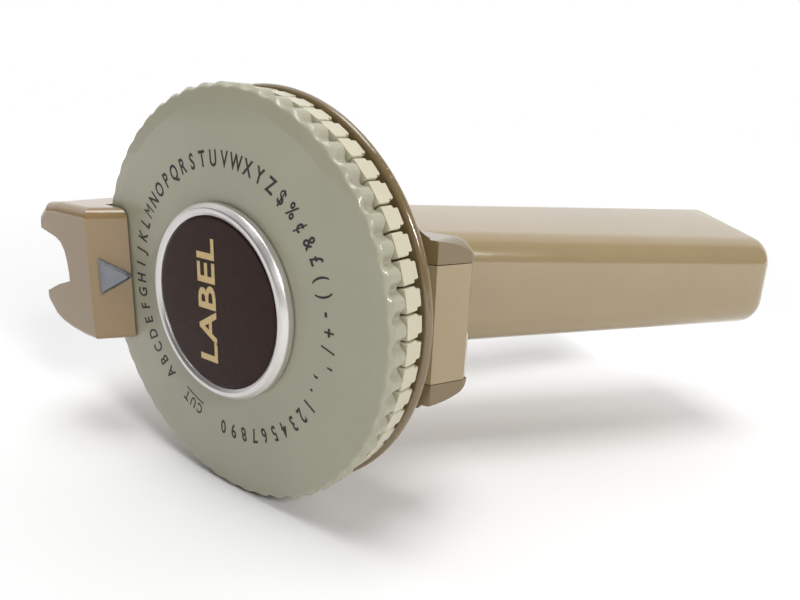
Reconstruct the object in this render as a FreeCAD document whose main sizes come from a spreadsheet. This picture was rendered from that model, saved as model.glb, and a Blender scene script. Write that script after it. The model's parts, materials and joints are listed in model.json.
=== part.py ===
"""Hand-held embossing label maker with a 54-position character dial.

Tool frame: X runs from the nose to the rear block, Y from the dial's face to the back and Z up,
with the dial's axis on Y. The tool is nearly the same above and below the plane Z = 0.
head_x, head_y and head_z carry that frame to the part's own, whose origin is on the ground.
"""
import FreeCAD, Part
import Sketcher
import math
import os
import re

doc = FreeCAD.newDocument("LabelMaker")

# ---------------------------------------------------------------- driving dimensions (mm, degrees)
SIZES = {
    # where the dial's axis meets its front face
    "head_x": -16.45, "head_y": -72.15, "head_z": 50.9,
    # dial: two discs with the tape's gap between them
    "positions": 54, "dial_radius": 50.6, "dial_edge": 47.2, "face_back": 5.6, "finger_front": 6.0,
    "finger_back": 11.6, "finger_step": 10.3, "finger_tip": 49.3, "web_back": 3.2, "web_rear": 9.4,
    "boss_radius": 20, "rim_inner": 43, "finger_root": 36, "scallop_radius": 2.1,
    "scallop_centre": 51.4, "slot_width": 0.5, "bush_radius": 12, "bush_front": 0.1,
    "bush_back": 11.85, "rivet_radius": 1.5, "rivet_circle": 17, "rivet_head": 2.4,
    "rivet_back": 12.1, "detent_inner": 24, "detent_outer": 33, "detent_back": 10.6,
    "notch_circle": 31, "notch_radius": 0.9,
    # hub: post, silver ring, badge, screw and washer
    "post_radius": 9, "post_front": -0.35, "flange_radius": 13, "flange_back": 17.2,
    "ring_radius": 24.0, "ring_front": -3.3, "ring_floor": -2.05, "badge_radius": 21.1,
    "badge_front": -2.9, "ring_flat_in": 21.9, "ring_flat_out": 22.9, "ring_shoulder": -1.8,
    "screw_head": 3.4, "screw_radius": 1.6, "screw_back": 10, "washer_front": 11.95,
    "washer_back": 12.5, "washer_radius": 14,
    # housing: disc-shaped wall behind the dial, hollow body, nose and rear cheeks
    "wall_front": 12.6, "wall_back": 15.2, "wall_radius": 50.9,
    "body_back": 29.2, "cavity_back": 27, "body_half": 18.5, "cavity_half": 14,
    "cavity_nose": -63.5, "cavity_rear": 41.5, "neck_rear": 30,
    # rear block: cheeks, front face behind the wall, ridge and side face
    "cheek_half": 19.4, "cheek_round": 6, "front_x": 43.9, "front_y": 17.7, "ridge_x": 48.3, "ridge_y": 18.7,
    "side_x": 52.2, "side_y": 26.8, "shoulder": 3.6,
    # nose: front part, slot for the dial, slanted face, mouth for the label
    "nose_front": -9, "nose_tip": -67.8, "nose_half": 18.2, "nose_end": -37.6, "nose_ridge": -44,
    "dial_slot": 51.5, "slot_front": -0.6, "mouth_back": 13.5, "mouth_top": 10.4,
    "mouth_deep": -54.8, "lip_root": -3.2, "lip_bend_x": -61, "lip_bend_z": -5.2,
    "lip_tip": -8.3,
    "exit_front": 5.2, "exit_back": 6.4, "exit_half": 6.5,
    # rear door between the cheeks and its hinge pin
    "door_gap": 0.2, "door_inner": 44.3, "door_half": 14.1, "door_back": 28.9,
    "pin_x": 47.6, "pin_y": 26.5, "pin_radius": 1.2, "pin_half": 16.5,
    # pointer and cutter at the nose
    "slant": 54, "pointer_width": 10, "pointer_start": 2.6, "pointer_end": 10.6,
    "pointer_height": 1.7, "blade_start": -62.5, "blade_end": -56.4, "blade_front": -6.6,
    "blade_back": 5, "blade_low": -9.5,
    # hammer and anvil on the printing position
    "press_x": -46, "hammer_radius": 3, "hammer_front": 13.8, "hammer_back": 20.4,
    "hammer_neck": 1.5, "hammer_step": 18.0, "anvil_front": -5, "anvil_back": -0.3,
    # squeeze lever and its pin
    "lever_x": -57, "lever_y": 22, "lever_pin": 2, "lever_boss": 4.5, "lever_half": 6.5,
    "arm_half": 12, "lever_angle": 59.5, "arm_start": 28, "arm_end": 158, "arm_inner": -16.5,
    "arm_outer": -4.5, "lever_pin_half": 16,
    # feed roller and ratchet in the body
    "feed_x": -31, "feed_y": 21, "roller_radius": 4, "roller_half": 6.2, "axle_radius": 1.4,
    "ratchet_low": 7, "ratchet_high": 9, "ratchet_radius": 5.2, "ratchet_root": 4.2,
    # grip: its axis is inclined to X, palm side and finger side measured across it
    "grip_angle": 50, "palm_side": -1.5, "finger_side": -40, "palm_root": 15.6, "palm_end": 12.2,
    "finger_half": 20.2, "finger_half_end": 19.4, "grip_length": 161, "grip_wall": 2.6,
    "palm_corner": 8, "finger_corner": 6, "end_round": 4, "cover_half": 13.2,
    "cover_start": 26, "cover_end": 146, "cover_thick": 1.5, "cover_ledge": 2,
    # tape magazine
    "spool_at": 95, "spool_across": -20.5, "spool_radius": 14, "tape_radius": 12.5,
    "tape_half": 6, "spool_hub": 5, "spool_post": 2.4, "magazine_half": 9.2,
    "magazine_plate": 1.2, "magazine_length": 34, "flange_thick": 0.8,
    # fasteners
    "bolt_radius": 1.5, "bolt_head": 2.8, "bolt_boss": 3.6,
}

sheet = doc.addObject("Spreadsheet::Sheet", "Sizes")
for row, (alias, size) in enumerate(SIZES.items(), start=1):
    sheet.set("A%d" % row, alias)
    sheet.set("B%d" % row, str(size))
    sheet.setAlias("B%d" % row, alias)
doc.recompute()


def expression(text):
    """Return the text with each name of a size written as a cell of the sheet."""
    def cell(match):
        word = match.group()
        return "Sizes." + word if word in SIZES else word
    return re.sub(r"[A-Za-z_]\w*", cell, str(text))


def value(text):
    """Return what an expression of sizes is worth now."""
    return float(sheet.evalExpression(expression(text)))


def origin_item(body, role):
    """Return a body's own origin plane or axis."""
    return [item for item in body.Origin.OriginFeatures if item.Role == role][0]


# ---------------------------------------------------------------- sketches whose sizes are bound to the sheet
def bind(sketch, kind, name, elements, text):
    """Add one dimension to a sketch and tie it to the sheet."""
    index = sketch.addConstraint(Sketcher.Constraint(kind, *elements, value(text)))
    sketch.renameConstraint(index, name)
    sketch.setExpression("Constraints." + name, expression(text))


def new_sketch(body, name, role, height):
    """Attach a sketch to one of the body's planes, moved along the plane's normal."""
    sketch = body.newObject("Sketcher::SketchObject", name)
    sketch.AttachmentSupport = [(origin_item(body, role), "")]
    sketch.MapMode = "FlatFace"
    sketch.setExpression("AttachmentOffset.Base.z", expression(height))
    return sketch


def polygon(sketch, points):
    """Draw a closed outline; each corner's two coordinates are expressions of the sheet."""
    places = [FreeCAD.Vector(value(x), value(y), 0) for x, y in points]
    first = sketch.GeometryCount
    count = len(places)
    for i, place in enumerate(places):
        sketch.addGeometry(Part.LineSegment(place, places[(i + 1) % count]))
    for i in range(count):
        following = first + (i + 1) % count
        sketch.addConstraint(Sketcher.Constraint("Coincident", first + i, 2, following, 1))
    for i, (x, y) in enumerate(points):
        bind(sketch, "DistanceX", "x%d_%d" % (first, i), (-1, 1, first + i, 1), x)
        bind(sketch, "DistanceY", "y%d_%d" % (first, i), (-1, 1, first + i, 1), y)


def circle(sketch, x, y, radius):
    """Draw a circle from three expressions of the sheet."""
    centre = FreeCAD.Vector(value(x), value(y), 0)
    index = sketch.addGeometry(Part.Circle(centre, FreeCAD.Vector(0, 0, 1), value(radius)))
    bind(sketch, "Radius", "radius%d" % index, (index,), radius)
    bind(sketch, "DistanceX", "cx%d" % index, (-1, 1, index, 3), x)
    bind(sketch, "DistanceY", "cy%d" % index, (-1, 1, index, 3), y)


def rectangle(x0, y0, x1, y1):
    """Return the corners of a rectangle."""
    return [(x0, y0), (x1, y0), (x1, y1), (x0, y1)]


def draw(sketch, outlines):
    """Draw each outline: three values are a circle, a list of pairs is a polygon."""
    for outline in outlines:
        if isinstance(outline, tuple):
            circle(sketch, *outline)
        else:
            polygon(sketch, outline)


# ---------------------------------------------------------------- features
def prism(body, name, axis, outlines, low, high, cut=False):
    """Add or cut a prism between two heights on axis Y or Z; outlines lie in XZ or XY."""
    role = {"Y": "XZ_Plane", "Z": "XY_Plane"}[axis]
    if axis == "Y":
        start = "-(%s)" % (low if cut else high)
    else:
        start = high if cut else low
    sketch = new_sketch(body, name + "_sketch", role, start)
    draw(sketch, outlines)
    kind = "PartDesign::Pocket" if cut else "PartDesign::Pad"
    feature = body.newObject(kind, name)
    feature.Profile = sketch
    feature.setExpression("Length", expression("(%s) - (%s)" % (high, low)))
    doc.recompute()
    return feature


def turned(body, name, outlines, cut=False):
    """Turn an outline of (radius, Y) about the dial's axis."""
    sketch = new_sketch(body, name + "_sketch", "XY_Plane", "0")
    draw(sketch, outlines)
    feature = body.newObject("PartDesign::Groove" if cut else "PartDesign::Revolution", name)
    feature.Profile = sketch
    feature.ReferenceAxis = (sketch, ["V_Axis"])
    feature.Angle = 360
    doc.recompute()
    return feature


def around_axis(body, name, feature, count, role="Y_Axis"):
    """Repeat a feature evenly about one of the body's axes."""
    pattern = body.newObject("PartDesign::PolarPattern", name)
    pattern.Originals = [feature]
    pattern.Axis = (origin_item(body, role), [""])
    pattern.Angle = 360
    pattern.setExpression("Occurrences", expression(count))
    body.Tip = pattern
    doc.recompute()
    return pattern


def soften(body, kind, name, size, wanted):
    """Round or chamfer the edges that the test wants."""
    tip = body.Tip
    edges = ["Edge%d" % (i + 1) for i, edge in enumerate(tip.Shape.Edges) if wanted(edge)]
    feature = body.newObject("PartDesign::" + kind, name)
    feature.Base = (tip, edges)
    if kind == "Fillet":
        feature.Radius = size
    else:
        feature.Size = size
    doc.recompute()
    return feature


def new_body(label):
    """Start a body that stands in the tool frame."""
    body = doc.addObject("PartDesign::Body", label)
    body.Label = label
    for axis, alias in (("x", "head_x"), ("y", "head_y"), ("z", "head_z")):
        body.setExpression("Placement.Base." + axis, "Sizes." + alias)
    return body


def stand(body, x, y, z, rotation):
    """Turn a body and put its origin at a point of the tool frame."""
    body.Placement = FreeCAD.Placement(FreeCAD.Vector(), rotation)
    for axis, head, text in (("x", "head_x", x), ("y", "head_y", y), ("z", "head_z", z)):
        body.setExpression("Placement.Base." + axis, expression("%s + (%s)" % (head, text)))


def prism_body(label, axis, outlines, low, high):
    """Make a body of one prism."""
    body = new_body(label)
    prism(body, label + "_pad", axis, outlines, low, high)
    return body


def turned_body(label, outline):
    """Make a body of one turned outline."""
    body = new_body(label)
    turned(body, label + "_turn", [outline])
    return body


def shape_node(label, shape, place=FreeCAD.Vector()):
    """Keep a shape built with Part's functions as a node at a point of the tool frame."""
    node = doc.addObject("Part::Feature", label)
    node.Label = label
    node.Shape = shape
    node.Placement = FreeCAD.Placement(HEAD + place, FreeCAD.Rotation())
    return node


def runs_along(edge, axis):
    """Tell whether an edge is straight and runs along an axis."""
    if edge.Curve.TypeId != "Part::GeomLine":
        return False
    direction = edge.tangentAt(edge.FirstParameter)
    return abs(abs(direction.dot(axis)) - 1) < 1e-6


X_AXIS = FreeCAD.Vector(1, 0, 0)
Y_AXIS = FreeCAD.Vector(0, 1, 0)
Z_AXIS = FreeCAD.Vector(0, 0, 1)
HEAD = FreeCAD.Vector(value("head_x"), value("head_y"), value("head_z"))


# ---------------------------------------------------------------- dial
def dial_front_disc():
    """Ivory disc whose face carries the characters and whose rim is scalloped."""
    body = turned_body("dial_front_disc", [
        ("bush_radius", "0"), ("dial_edge", "0"), ("dial_radius - 0.6", "0.3"),
        ("dial_radius", "1.1"), ("dial_radius", "face_back - 0.7"),
        ("dial_radius - 0.7", "face_back"), ("rim_inner + 1", "face_back"),
        ("rim_inner", "web_back"), ("boss_radius", "web_back"),
        ("boss_radius", "finger_front"), ("bush_radius", "finger_front")])
    scallop = prism(body, "scallop", "Y", [("scallop_centre", "0", "scallop_radius")],
                    "-0.1", "face_back + 0.1", cut=True)
    around_axis(body, "scallops", scallop, "positions")
    rivet = prism(body, "rivet_hole", "Y", [("rivet_circle", "0", "rivet_radius")],
                  "-0.1", "finger_front + 0.1", cut=True)
    around_axis(body, "rivet_holes", rivet, "3")
    return body


def dial_finger_disc():
    """Disc with one spring finger for each character."""
    body = turned_body("dial_finger_disc", [
        ("bush_radius", "finger_front"), ("dial_radius", "finger_front"),
        ("dial_radius", "finger_step"), ("finger_tip", "finger_step"),
        ("finger_tip", "finger_back"), ("finger_root + 2", "finger_back"),
        ("finger_root", "web_rear"), ("boss_radius", "web_rear"),
        ("boss_radius", "finger_back"), ("bush_radius", "finger_back")])
    slot = prism(body, "slot", "Y", [rectangle(
        "finger_root", "-slot_width / 2", "dial_radius + 1", "slot_width / 2")],
        "finger_front - 0.1", "finger_back + 0.1", cut=True)
    around_axis(body, "slots", slot, "positions")
    rivet = prism(body, "rivet_hole", "Y", [("rivet_circle", "0", "rivet_radius")],
                  "finger_front - 0.1", "finger_back + 0.1", cut=True)
    around_axis(body, "rivet_holes", rivet, "3")
    return body


def dial_bush():
    """Sleeve that both discs are pressed on."""
    return turned_body("dial_bush", rectangle(
        "post_radius + 0.06", "bush_front", "bush_radius", "bush_back"))


def dial_rivets():
    """Three rivets that hold the discs together, each with its head at the back."""
    shanks = []
    for i in range(3):
        turn = FreeCAD.Rotation(Y_AXIS, 120 * i)
        centre = turn.multVec(FreeCAD.Vector(value("rivet_circle"), 0, 0))
        shank = Part.makeCylinder(value("rivet_radius"), value("finger_back"), centre, Y_AXIS)
        seat = centre + Y_AXIS * value("finger_back")
        head = Part.makeCylinder(value("rivet_head"), value("rivet_back - finger_back"), seat, Y_AXIS)
        shanks.append(shank.fuse(head).removeSplitter())
    return shape_node("dial_rivets", Part.makeCompound(shanks))


def detent_ring():
    """Steel ring with a notch for each position."""
    body = turned_body("detent_ring", rectangle(
        "detent_inner", "web_rear", "detent_outer", "detent_back"))
    notch = prism(body, "notch", "Y", [("notch_circle", "0", "notch_radius")],
                  "web_rear - 0.1", "detent_back + 0.1", cut=True)
    around_axis(body, "notches", notch, "positions")
    return body


# ---------------------------------------------------------------- hub
def hub_post():
    """Post that the dial turns on, held by its flange behind the housing's wall."""
    body = turned_body("hub_post", [
        ("0", "post_front"), ("post_radius", "post_front"), ("post_radius", "wall_back"),
        ("flange_radius", "wall_back"), ("flange_radius", "flange_back"), ("0", "flange_back")])
    prism(body, "screw_hole", "Y", [("0", "0", "screw_radius")],
          "post_front - 0.1", "screw_back", cut=True)
    return body


def hub_ring():
    """Satin ring on the post's end, with a recess for the badge and a countersunk hole."""
    return turned_body("hub_ring", [
        ("screw_head", "ring_floor"), ("badge_radius + 0.05", "ring_floor"),
        ("badge_radius + 0.05", "badge_front + 0.2"), ("ring_flat_in", "ring_front"),
        ("ring_flat_out", "ring_front"), ("ring_radius", "ring_shoulder"),
        ("ring_radius", "post_front"), ("screw_radius", "post_front")])


def hub_badge():
    """Thin brown disc that covers the screw."""
    return turned_body("hub_badge", rectangle("0", "badge_front", "badge_radius", "ring_floor"))


def hub_screw():
    """Countersunk screw through the ring into the post."""
    return turned_body("hub_screw", [
        ("0", "ring_floor"), ("screw_head", "ring_floor"), ("screw_radius", "post_front"),
        ("screw_radius", "screw_back"), ("0", "screw_back")])


def hub_washer():
    """Thin washer between the dial and the housing."""
    return turned_body("hub_washer", rectangle(
        "post_radius + 0.2", "washer_front", "washer_radius", "washer_back"))


def detent_plunger():
    """Pin that drops into the detent ring's notches."""
    return prism_body("detent_plunger", "Y", [("notch_circle", "0", "notch_radius + 0.3")],
                      "detent_back + 0.2", "flange_back + 1.2")


def detent_spring():
    """Leaf spring behind the plunger, standing off the housing's wall."""
    back = "flange_back + 1.2"
    body = prism_body("detent_spring", "Z", [rectangle(
        "notch_circle - 10", back, "notch_circle + 3", "flange_back + 1.7")], "-3", "3")
    prism(body, "foot", "Z", [rectangle(
        "notch_circle - 10", "wall_back", "notch_circle - 8", back)], "-3", "3")
    return body


# ---------------------------------------------------------------- housing
def housing_solid():
    """The whole hollow housing before it is split into its two halves."""
    body = new_body("housing_solid")
    turned(body, "wall", [rectangle("0", "wall_front", "wall_radius", "wall_back")])

    def rim_edge(edge):
        return edge.BoundBox.XLength > 2 * value("wall_radius") - 0.1

    soften(body, "Fillet", "rim_rounding", 1.25, rim_edge)
    prism(body, "nose", "Y", [[
        ("nose_tip + 0.6", "nose_half - 2.2"), ("nose_tip + 2.8", "nose_half - 0.5"),
        ("nose_tip + 8", "nose_half"), ("nose_end", "nose_half"), ("nose_end", "-nose_half"),
        ("nose_ridge - 6", "-nose_half"), ("nose_ridge - 12.5", "-nose_half + 0.6"),
        ("nose_ridge - 17.4", "-nose_half + 1.6"), ("nose_ridge - 20.8", "-nose_half + 3.1"),
        ("nose_tip + 0.9", "-nose_half + 5.2"), ("nose_tip", "-nose_half + 7.8"),
        ("nose_tip", "lip_tip"), ("nose_tip", "mouth_top")]],
          "nose_front", "mouth_back")
    prism(body, "nose_rear", "Y", [[
        ("nose_tip + 1", "nose_half - 2.2"), ("nose_tip + 8", "nose_half"),
        ("nose_end", "nose_half"), ("nose_end", "-nose_half"), ("nose_tip + 8", "-nose_half"),
        ("nose_tip + 1", "-nose_half + 2.2")]], "mouth_back", "body_back")
    prism(body, "neck", "Y", [[
        ("nose_end", "nose_half"), ("-12", "body_half + 6"), ("12", "body_half + 6"),
        ("neck_rear", "cheek_half"), ("side_x + 0.8", "cheek_half"),
        ("side_x + 0.8", "-cheek_half"), ("neck_rear", "-cheek_half"),
        ("12", "-body_half - 6"), ("-12", "-body_half - 6"), ("nose_end", "-nose_half")]],
          "wall_back", "body_back")

    def cheek_edge(edge):
        return runs_along(edge, Y_AXIS) and edge.BoundBox.XMin > value("side_x") + 0.7

    soften(body, "Fillet", "cheek_rounding", value("cheek_round"), cheek_edge)

    def back_edge(edge):
        box = edge.BoundBox
        outer = abs(box.YMin - value("body_back")) < 0.01 and box.YLength < 0.01
        return outer and box.XMin > value("nose_end") - 0.1 and abs(edge.CenterOfMass.z) > 5

    soften(body, "Fillet", "back_rounding", 3, back_edge)
    shoulder(body)
    prism(body, "dial_room", "Y", [("0", "0", "dial_slot")], "slot_front", "wall_front", cut=True)
    rise = "(nose_end + 0.1 - nose_ridge) * tan(slant * 1 deg)"
    prism(body, "slant_cut", "Z", [[
        ("nose_ridge", "nose_front"), ("nose_end + 0.1", "nose_front + " + rise),
        ("nose_end + 0.1", "nose_front - 0.1"), ("nose_ridge", "nose_front - 0.1")]],
          "-nose_half - 1", "nose_half + 1", cut=True)
    prism(body, "block_faces", "Z", [[
        ("front_x", "wall_back"), ("front_x", "front_y"), ("ridge_x", "ridge_y"),
        ("side_x", "side_y"), ("side_x", "body_back + 0.1"), ("side_x + 3", "body_back + 0.1"),
        ("side_x + 3", "wall_back")]], "-cheek_half - 12", "cheek_half + 12", cut=True)

    def front_edge(edge):
        box = edge.BoundBox
        front = box.YMin < value("slot_front") - 0.1 and box.YMax < value("slot_front") + 0.1
        return front and box.XMin > value("nose_tip") + 0.1 and box.XLength > 0.5

    def upper_edge(edge):
        return front_edge(edge) and edge.CenterOfMass.z > 14 and edge.BoundBox.XLength > 1

    def lower_edge(edge):
        return front_edge(edge) and edge.CenterOfMass.z < -9

    soften(body, "Fillet", "upper_nose_rounding", 2.8, upper_edge)
    soften(body, "Fillet", "lower_nose_rounding", 1.4, lower_edge)
    return body


def shoulder(body):
    """Add the sloped shoulder between the wall's back and the rear block's cheeks."""
    loft = body.newObject("PartDesign::AdditiveLoft", "shoulder")
    outlines = [
        ("wall_back", [("12", "27"), ("30", "27"), ("41.8", "27"), ("45.2", "21")]),
        ("wall_back + shoulder", [("12", "24.4"), ("30", "19.4"), ("43", "19.9"), ("46", "19.8")])]
    sketches = []
    for i, (height, upper) in enumerate(outlines):
        lower = [(x, "-" + z) for x, z in reversed(upper)]
        sketch = new_sketch(body, "shoulder_sketch%d" % i, "XZ_Plane", "-(%s)" % height)
        polygon(sketch, upper + lower)
        sketches.append(sketch)
    loft.Profile = sketches[0]
    loft.Sections = sketches[1:]
    loft.Ruled = True
    doc.recompute()


def housing_openings(body):
    """Cut the mouth, the cavity and every hole of the housing."""
    prism(body, "mouth", "Y", [[
        ("nose_tip - 1", "mouth_top"), ("nose_tip + 2.7", "mouth_top - 0.8"),
        ("nose_tip + 7.6", "mouth_top - 1.8"), ("nose_tip + 10", "mouth_top - 2.9"),
        ("nose_tip + 11.7", "mouth_top - 5.1"), ("mouth_deep - 0.4", "mouth_top - 8.2"),
        ("mouth_deep", "-1"), ("mouth_deep", "lip_root"), ("lip_bend_x", "lip_bend_z"),
        ("nose_tip", "lip_tip"), ("nose_tip - 1", "lip_tip")]],
          "nose_front - 1", "mouth_back", cut=True)
    prism(body, "label_exit", "Y", [rectangle(
        "mouth_deep - 1", "-exit_half", "-dial_slot + 3", "exit_half")],
          "exit_front", "exit_back", cut=True)
    prism(body, "cavity", "Y", [rectangle(
        "cavity_nose", "-cavity_half", "cavity_rear", "cavity_half")],
          "wall_back", "cavity_back", cut=True)
    prism(body, "lever_window", "Y", [rectangle(
        "cavity_nose + 1", "-lever_half - 0.6", "-29.5", "lever_half + 0.6")],
          "cavity_back - 0.1", "body_back + 0.1", cut=True)
    prism(body, "tape_window", "Y", [rectangle("-18", "-7", "14", "7")],
          "cavity_back - 0.1", "body_back + 0.1", cut=True)
    prism(body, "front_bores", "Y", [
        ("0", "0", "post_radius + 0.05"), ("press_x", "0", "hammer_radius + 0.05"),
        ("notch_circle", "0", "notch_radius + 0.35")],
          "wall_front - 0.1", "wall_back + 0.1", cut=True)
    prism(body, "anvil_bore", "Y", [("press_x", "0", "hammer_radius")],
          "anvil_front", "slot_front + 0.1", cut=True)
    prism(body, "door_room", "Y", [rectangle(
        "door_inner", "-door_half", "side_x + 3", "door_half")],
          "wall_back", "body_back + 0.1", cut=True)
    prism(body, "door_pin_bore", "Z", [("pin_x", "pin_y", "pin_radius")],
          "-pin_half", "pin_half", cut=True)
    prism(body, "lever_pin_bore", "Z", [("lever_x", "lever_y", "lever_pin")],
          "-lever_pin_half", "lever_pin_half", cut=True)
    prism(body, "blade_seat", "Y", [[
        ("blade_start", "lip_bend_z - 1.1"), ("blade_start", "lip_bend_z + 0.2"),
        ("blade_end", "lip_root + 0.2"), ("blade_end", "blade_low"),
        ("blade_start + 1.5", "blade_low")]],
          "blade_front", "blade_back", cut=True)
    prism(body, "grip_bolt_bores", "Y", [(x, z, "bolt_radius") for x, z in GRIP_BOLTS],
          "cavity_back - 0.1", "body_back + 0.1", cut=True)


def body_posts(body):
    """Posts for the two housing bolts inside the body, and every bolt's hole."""
    prism(body, "posts", "Z", [(x, y, "bolt_boss") for x, y in BOLT_PLACES[1:]],
          "-cavity_half", "cavity_half")
    prism(body, "bolt_holes", "Z", [(x, y, "bolt_radius") for x, y in BOLT_PLACES],
          "-nose_half - 8", BOLT_END, cut=True)
    prism(body, "bolt_seats", "Z", [(x, y, "bolt_head") for x, y in BOLT_PLACES],
          "-nose_half - 8", BOLT_SEAT, cut=True)


BOLT_PLACES = [("-51.3", "-5"), ("-21", "21"), ("38", "21")]
GRIP_BOLTS = [(x, z) for x in ("-18.5", "10") for z in ("-10.8", "10.8")]
BOLT_SEAT = "-nose_half + 3"
BOLT_END = "nose_half - 4"


def housing_bolts():
    """Three bolts that draw the halves together from below."""
    bolts = []
    for x, y in BOLT_PLACES:
        seat = FreeCAD.Vector(value(x), value(y), value(BOLT_SEAT))
        head_seat = seat - Z_AXIS * 1.6
        shank = Part.makeCylinder(value("bolt_radius"), value(BOLT_END) - seat.z, seat, Z_AXIS)
        head = Part.makeCylinder(value("bolt_head"), 1.6, head_seat, Z_AXIS)
        bolts.append(shank.fuse(head).removeSplitter())
    return shape_node("housing_bolts", Part.makeCompound(bolts))


def housing_half(label, whole, low, high):
    """Take one half of the housing on its side of the parting plane."""
    half = doc.addObject("Part::Box", label + "_side")
    half.Length, half.Width = 200, 100
    corner = FreeCAD.Vector(-120, -40, value(low))
    half.Placement = FreeCAD.Placement(HEAD + corner, FreeCAD.Rotation())
    half.setExpression("Height", expression("(%s) - (%s)" % (high, low)))
    common = doc.addObject("Part::Common", label)
    common.Label = label
    common.Base = whole
    common.Tool = half
    return common


def rear_door():
    """Door between the cheeks, with the knuckle that its pin runs through."""
    body = new_body("rear_door")
    gap = "door_gap"
    prism(body, "door", "Z", [[
        ("door_inner + 0.3", "front_y + 0.2"), ("ridge_x", "ridge_y"), ("side_x", "side_y"),
        ("side_x - 0.8", "door_back"), ("pin_x - 0.4", "door_back"),
        ("pin_x - 2.4", "pin_y + 0.5"), ("door_inner + 0.5", "pin_y - 2")]],
          "-door_half + " + gap, "door_half - " + gap)
    prism(body, "pin_bore", "Z", [("pin_x", "pin_y", "pin_radius + 0.05")],
          "-door_half", "door_half", cut=True)
    return body


# ---------------------------------------------------------------- nose
def nose_pointer():
    """Bevelled grey pointer on the nose's slanted face."""
    body = new_body("nose_pointer")
    lay = FreeCAD.Rotation(Z_AXIS, value("slant")).multiply(FreeCAD.Rotation(X_AXIS, 90))
    stand(body, "nose_ridge", "nose_front", "0", lay)
    prism(body, "pointer", "Z", [[
        ("pointer_start", "-pointer_width / 2"), ("pointer_end - 1", "-1"), ("pointer_end", "0"),
        ("pointer_end - 1", "1"), ("pointer_start", "pointer_width / 2")]],
          "0", "pointer_height")

    def top_edge(edge):
        box = edge.BoundBox
        return box.ZMin > value("pointer_height") - 0.01

    soften(body, "Chamfer", "bevel", 0.7, top_edge)
    return body


def cutter_blade():
    """Steel blade let into the mouth's lower lip."""
    return prism_body("cutter_blade", "Y", [[
        ("blade_start", "lip_bend_z - 1.1"), ("lip_bend_x", "lip_bend_z - 0.2"),
        ("blade_end", "lip_root - 0.7"), ("blade_end", "blade_low"),
        ("blade_start + 1.5", "blade_low")]],
                      "blade_front", "blade_back")


def anvil_pad():
    """Steel pad in front of the printing position."""
    return prism_body("anvil_pad", "Y", [("press_x", "0", "hammer_radius")],
                      "anvil_front", "anvil_back")


def hammer():
    """Plunger that the lever pushes towards the dial's finger."""
    body = prism_body("hammer", "Y", [("press_x", "0", "hammer_radius")],
                      "hammer_front", "hammer_step")
    prism(body, "neck", "Y", [("press_x", "0", "hammer_neck")], "hammer_step", "hammer_back")
    return body


# ---------------------------------------------------------------- lever
def lever():
    """Squeeze lever: a boss on its pin, a toe behind the hammer and a channel-shaped arm."""
    body = new_body("lever")
    stand(body, "lever_x", "lever_y", "0", FreeCAD.Rotation(Z_AXIS, value("lever_angle")))
    prism(body, "boss", "Z", [("0", "0", "lever_boss")], "-lever_half", "lever_half")
    prism(body, "toe", "Z", [[
        ("-2", "0"), ("0", "-4.2"), ("1.2", "-4.4"), ("5.9", "-12.4"), ("9", "-13.6"),
        ("arm_start", "arm_inner"), ("arm_start + 1", "arm_outer"), ("2", "3.8")]],
          "-lever_half", "lever_half")
    prism(body, "arm", "Z", [[
        ("arm_start", "arm_inner"), ("arm_end - 4", "arm_inner"), ("arm_end", "arm_inner + 4"),
        ("arm_end", "arm_outer - 5"), ("arm_end - 8", "arm_outer"), ("arm_start", "arm_outer")]],
          "-arm_half", "arm_half")

    def grip_edge(edge):
        box = edge.BoundBox
        side = abs(abs(edge.CenterOfMass.z) - value("arm_half")) < 0.01
        return side and box.ZLength < 0.01 and box.XMin > value("arm_start") - 0.01

    soften(body, "Fillet", "arm_rounding", 2.2, grip_edge)
    prism(body, "channel", "Z", [[
        ("arm_start + 8", "arm_inner - 1"), ("arm_end - 14", "arm_inner - 1"),
        ("arm_end - 14", "arm_outer - 3"), ("arm_start + 8", "arm_outer - 3")]],
          "-arm_half + 3", "arm_half - 3", cut=True)
    prism(body, "pin_bore", "Z", [("0", "0", "lever_pin + 0.05")],
          "-lever_half - 1", "lever_half + 1", cut=True)
    return body


def lever_pin():
    """Pin across the nose that the lever turns on."""
    return prism_body("lever_pin", "Z", [("lever_x", "lever_y", "lever_pin")],
                      "-lever_pin_half", "lever_pin_half")


def lever_spring():
    """Close-wound coil of the torsion spring beside the lever's boss, with its two legs."""
    radius, wire = value("lever_pin") + 1.0, 0.45
    turns, pitch = 5, 0.85
    spring = Part.makeTorus(radius, wire)
    for i in range(1, turns):
        spring = spring.fuse(Part.makeTorus(radius, wire, Z_AXIS * (pitch * i)))
    for height, ahead in ((0, X_AXIS), (pitch * (turns - 1), FreeCAD.Vector(0.6, 0.8, 0))):
        side = Z_AXIS.cross(ahead) * -radius
        leg = Part.makeCylinder(0.4, 7, side + Z_AXIS * height, ahead)
        spring = spring.fuse(leg)
    start = FreeCAD.Vector(value("lever_x"), value("lever_y"), value("lever_half") + 1.2)
    return shape_node("lever_spring", spring.removeSplitter(), start)


# ---------------------------------------------------------------- tape feed
def feed_axle():
    """Axle across the body."""
    return prism_body("feed_axle", "Z", [("feed_x", "feed_y", "axle_radius")],
                      "-cavity_half", "cavity_half")


def feed_roller():
    """Grooved roller that pulls the tape."""
    body = new_body("feed_roller")
    stand(body, "feed_x", "feed_y", "0", FreeCAD.Rotation())
    prism(body, "drum", "Z", [("0", "0", "roller_radius")], "-roller_half", "roller_half")
    prism(body, "bore", "Z", [("0", "0", "axle_radius + 0.05")],
          "-roller_half - 1", "roller_half + 1", cut=True)
    groove = prism(body, "groove", "Z", [("roller_radius + 0.1", "0", "0.45")],
                   "-roller_half - 1", "roller_half + 1", cut=True)
    around_axis(body, "grooves", groove, "16", "Z_Axis")
    return body


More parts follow.
